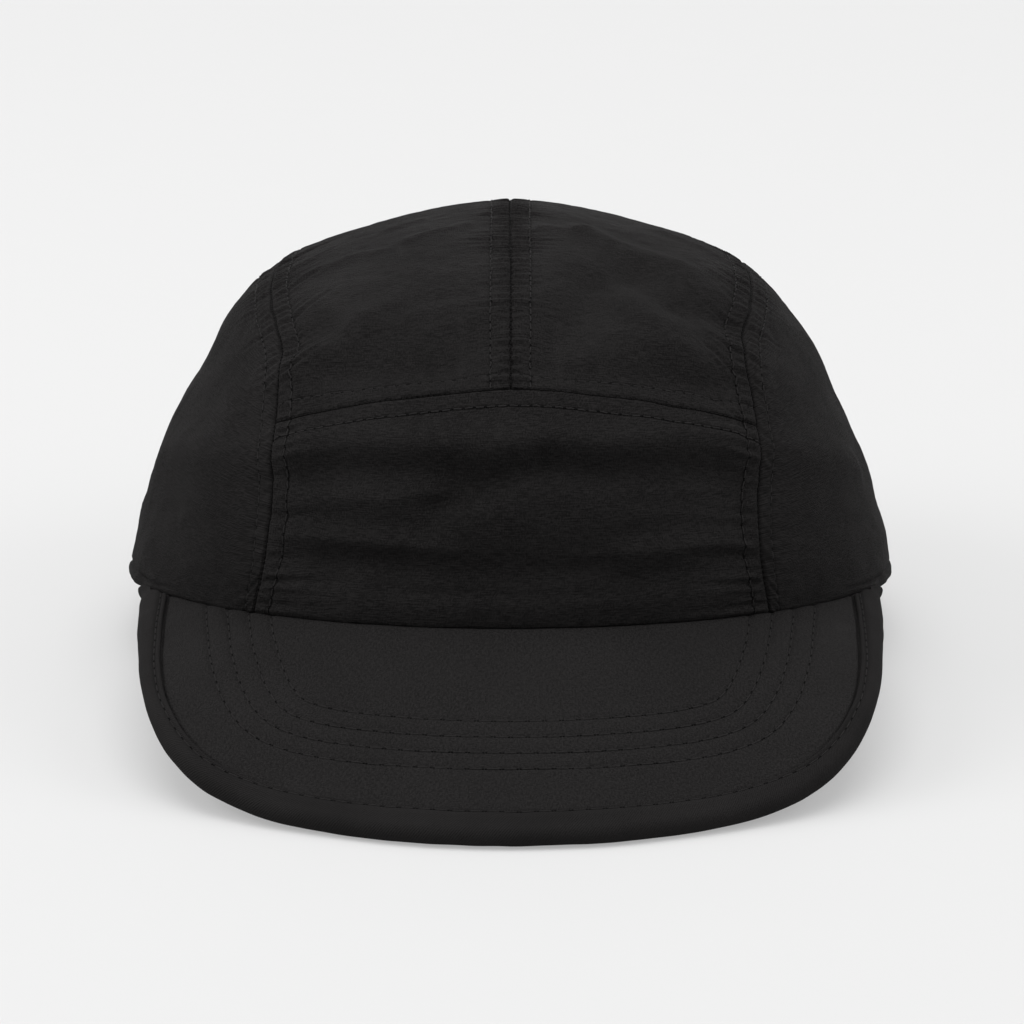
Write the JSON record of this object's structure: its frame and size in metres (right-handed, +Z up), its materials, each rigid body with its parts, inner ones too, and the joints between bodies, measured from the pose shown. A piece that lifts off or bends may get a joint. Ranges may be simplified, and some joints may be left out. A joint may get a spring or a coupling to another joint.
{
  "type": "five panel cap",
  "caption": "Soft dark nylon cap with a wide front panel, an arched seam over it, a domed top, half-moon sides and a stiff curved peak with a bound edge.",
  "frame": {"origin": "on the surface that the cap rests on, under the middle of its length and width", "axes": "+Z up, the peak points along -Y, +X to the right as seen from in front"},
  "size_m": [0.1856, 0.2537, 0.1031],
  "materials": {
    "crown_cloth": "matt woven nylon with a soft sheen",
    "peak_cloth": "matt woven nylon over a stiff board",
    "binding_tape": "matt woven tape",
    "band_tape": "matt twill tape"
  },
  "bodies": {
    "root": {"front_panel": "crown_cloth", "top_panel_left": "crown_cloth", "top_panel_right": "crown_cloth", "side_panel_left": "crown_cloth", "side_panel_right": "crown_cloth", "sweatband": "band_tape", "peak": "peak_cloth", "peak_binding": "binding_tape"}
  },
  "joints": []
}
